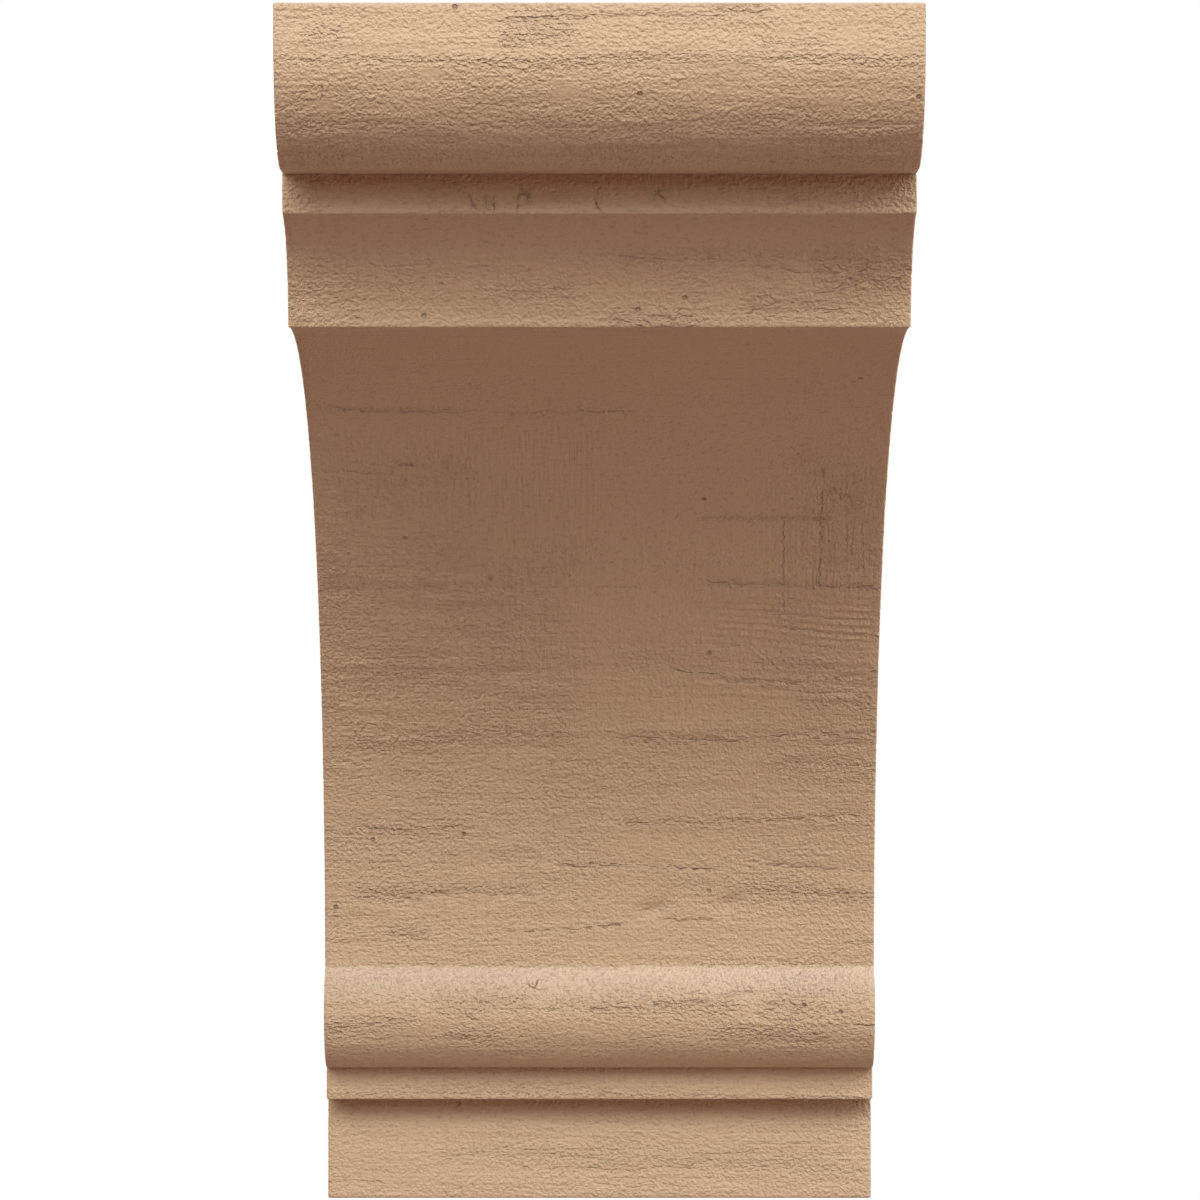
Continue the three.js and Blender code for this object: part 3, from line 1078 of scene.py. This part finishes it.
# %% The height
rough = carried("rough", 2)
stipple = stretched(0.95, 0.95, 1)
crumb = stretched(2.1, 1.6, 1).math("ABSOLUTE")
fibre_mark = stretched(3.6, 1.3, 1)
long_grain = stretched(30, 1.2, 1)
saw_stripe = stretched(9, 1.05, 1, turned=True)
level_stripe = stretched(9, 0.8, 1)
sawn_here = carried("sawn", 2)
plain = 1 - sawn_here * SAWN_PLAIN
grains = stipple * STIPPLE + crumb * CRUMB + fibre_mark * FIBRE + long_grain * LONG_GRAIN
stripes = saw_stripe * SAW_STRIPE + level_stripe * LEVEL_STRIPE
surface = rough * plain * grains + sawn_here * stripes

torn_here = carried("torn", 2)
torn_mark = stretched(1.9, 1.0, 1)
surface = surface + torn_here * torn_mark.ramp(*TORN_HIGH) * CRUMBLE
# Painted shade: hollow marks the low parts of torn fibre, which the colour below makes darker where
# shade falls in them.
hollow = torn_here * (1 - torn_mark.ramp(*TORN_LOW))

gap, crack_here, _ = parts(carried("crack", 1))
ragged = gap + fibre_mark * RAGGED
broken = stretched(2.6, 2.2, 1).ramp(*BROKEN)
groove = crack_here * broken * (1 - ragged.math("ABSOLUTE").ramp(0, CRACK_WIDTH))
pit_x, pit_s, pit_here = parts(carried("pit", 1))
pit_apart = (pit_x * pit_x + pit_s * pit_s).math("SQRT")
hole = pit_here * (1 - pit_apart.ramp(0.5 * PIT_RADIUS, PIT_RADIUS))
split = stretched(42, 1.7, 2).ramp(*SPLIT) * stretched(3, 1.5, 1).ramp(*SPLIT_ENDS)
split = split * carried("plain", 2)
bubble = Field.node(
    "ShaderNodeTexVoronoi", {"voronoi_dimensions": "2D"},
    {"Vector": place, "Scale": 1 / BUBBLE_SPACING},
)
pinhole = (1 - bubble.ramp(0.5 * PINHOLE, PINHOLE)) * carried("back", 2) * broken
height = surface - groove * CRACK_DEPTH - split * SPLIT_DEPTH - hole * PIT_DEPTH
height = height - pinhole * PIT_DEPTH
bump = Field.node("ShaderNodeBump", {}, {"Strength": 1, "Distance": MM, "Height": height})
tree.links.new(bump.socket, shader.inputs["Normal"])
print(len(tree.nodes), "nodes")

# %% [markdown]
# ## The colour
#
# The primer is one tan. It turns deeper in specks and in stains, which are its own colour. It also
# turns deeper in the bottoms of cracks, pits, splits and pinholes and in the low parts of torn fibre:
# that is painted shade, partly thin primer there. On the faces that look up it is paler and whiter,
# which is a painted highlight. Each is a share between 0 and 1, and Mix nodes blend the colours by it.
# The sheen is the same all over, so it is one number in the shader.

# %% Colour and sheen
PRIMER = (0.573, 0.434, 0.273, 1)
# The darker colour. It is used for the painted shade in cracks, pits, splits, pinholes and torn
# hollows, partly thin primer there, and for the specks and stains.
PRIMER_SHADE_AND_STAIN = (0.33, 0.215, 0.13, 1)
# The paler, whiter colour of the painted highlight on the faces that look up.
PRIMER_HIGHLIT = (0.655, 0.543, 0.4, 1)
SPECK = 0.36
GROOVE_SHADE_SHARE = 0.5
HOLLOW_SHADE_SHARE = 0.22
STAIN = 0.35
SPLIT_SHADE_SHARE = 0.3
PINHOLE_SHADE_SHARE = 0.5
ROUGHNESS = 0.5

speck = stretched(2.0, 1.1, 2).ramp(*SPECKED)
stain = carried("smudge", 2) * stretched(2.4, 1.2, 2).ramp(*STAINED)
# deep sums the darkening. Grooves, pits, torn hollows, splits and pinholes in it are painted shade,
# partly thin primer. Specks and stains are the primer's own colour.
deep = groove * GROOVE_SHADE_SHARE + hole + speck * SPECK + hollow * HOLLOW_SHADE_SHARE + stain * STAIN
deep = deep + split * SPLIT_SHADE_SHARE + pinhole * PINHOLE_SHADE_SHARE


def blended(share, first, second):
    """The colour first where share is 0, second where it is 1, and a mix of them between.

    A Mix node for colours has its two colours at inputs 6 and 7, and the result at output 2.
    """
    inputs = {"Factor": share, 6: first, 7: second}
    return Field.node("ShaderNodeMix", {"data_type": "RGBA"}, inputs, 2)


# Painted highlight: the primer is blended towards its paler colour on the faces that look up.
highlit_primer = blended(carried("upward_highlight", 2), PRIMER, PRIMER_HIGHLIT)
colour = blended(deep.math("MINIMUM", 1), highlit_primer, PRIMER_SHADE_AND_STAIN)
tree.links.new(colour.socket, shader.inputs["Base Color"])
shader.inputs["Roughness"].default_value = ROUGHNESS
corbel.data.materials.append(primer)
print(len(tree.nodes), "nodes with the colour")

# %% [markdown]
# ## Studio light
#
# Four softboxes light the front. One is straight ahead and high, and puts the soffits in
# shade. The strongest is at the left, and two weaker ones at the right keep that side from
# going dull. Two small ones stand behind for the back and the sides. They have grids, which
# narrow their beams, so that they miss the floor and the shade at the front stays deep. The
# rest of the light is an even warm glow from all round. The camera itself sees plain white
# behind the corbel.

# %% Softboxes, each by its azimuth, elevation, diameter, spread and strength
SOFTBOXES = {
    "front": (0, 35, 1.0, 180, 0.267),
    "left": (-30, 30, 2.0, 180, 0.649),
    "right": (50, 40, 2.0, 180, 0.473),
    "far right": (80, 5, 1.6, 180, 0.372),
    "behind left": (-140, 0, 0.6, 30, 0.8),
    "behind right": (140, 0, 0.6, 30, 0.6),
}
SOFTBOX_DISTANCE = 2.5
GLOW = (0.196, 0.066, 0.042, 1)


def softbox(name, azimuth, elevation, diameter, spread, strength):
    """A round softbox that faces the corbel from SOFTBOX_DISTANCE metres away.

    strength is the light that reaches a white card facing it, over what makes the card white.
    A disk of P watts gives P / (π² d²) of that at d metres. A grid in front of the box narrows
    its beam to spread degrees, and gathers the same watts in it: by tan a / (tan a - a) straight
    ahead, where a is half the spread.
    """
    data = bpy.data.lights.new(name, "AREA")
    data.shape = "DISK"
    data.size = diameter
    data.spread = math.radians(spread)
    tangent = math.tan(data.spread / 2)
    gathered = tangent / (tangent - data.spread / 2)
    data.energy = strength * (math.pi * SOFTBOX_DISTANCE) ** 2 / gathered
    turn, lift = math.radians(azimuth), math.radians(elevation)
    toward = Vector((math.sin(turn) * math.cos(lift), -math.cos(turn) * math.cos(lift), math.sin(lift)))
    box = bpy.data.objects.new(name, data)
    box.location = Vector((0, -PROJECTION / 2 * MM, 0)) + toward * SOFTBOX_DISTANCE
    box.rotation_euler = toward.to_track_quat("Z", "Y").to_euler()
    box.visible_camera = False
    bpy.context.scene.collection.objects.link(box)
    return box


for name, settings in SOFTBOXES.items():
    box = softbox(name, *settings)
    print(name, "softbox at", [round(c, 2) for c in box.location])

# %% The glow all round, and white behind
world = bpy.data.worlds.new("studio")
world.use_nodes = True
sky = world.node_tree
glow = sky.nodes["Background"]
glow.inputs["Color"].default_value = GLOW
white = sky.nodes.new("ShaderNodeBackground")
white.inputs["Color"].default_value = (1, 1, 1, 1)
path = sky.nodes.new("ShaderNodeLightPath")
either = sky.nodes.new("ShaderNodeMixShader")
sky.links.new(path.outputs["Is Camera Ray"], either.inputs["Fac"])
sky.links.new(glow.outputs["Background"], either.inputs[1])
sky.links.new(white.outputs["Background"], either.inputs[2])
sky.links.new(either.outputs["Shader"], sky.nodes["World Output"].inputs["Surface"])
bpy.context.scene.world = world
bpy.context.scene.view_settings.view_transform = "Standard"

# %% [markdown]
# ## The floor
#
# The corbel hangs on a wall in use, and here it hangs in the air, far above a plain pale
# floor. The floor is out of the picture, but it throws some light up under the mouldings.

# %% The floor
FLOOR_DROP = 0.9
FLOOR_HALF = 0.8
PALE = (0.62, 0.57, 0.52, 1)
PALE_ROUGHNESS = 0.9

floor_corners = np.array([(-1, -1, 0), (1, -1, 0), (1, 1, 0), (-1, 1, 0)]) * FLOOR_HALF / MM
floor_corners += (0, -PROJECTION / 2, -FLOOR_DROP / MM)
floor = mesh_object("floor", floor_corners, np.arange(4), np.array([4]))
pale = bpy.data.materials.new("pale_floor")
pale.use_nodes = True
pale_shader = pale.node_tree.nodes["Principled BSDF"]
pale_shader.inputs["Base Color"].default_value = PALE
pale_shader.inputs["Roughness"].default_value = PALE_ROUGHNESS
floor.data.materials.append(pale)
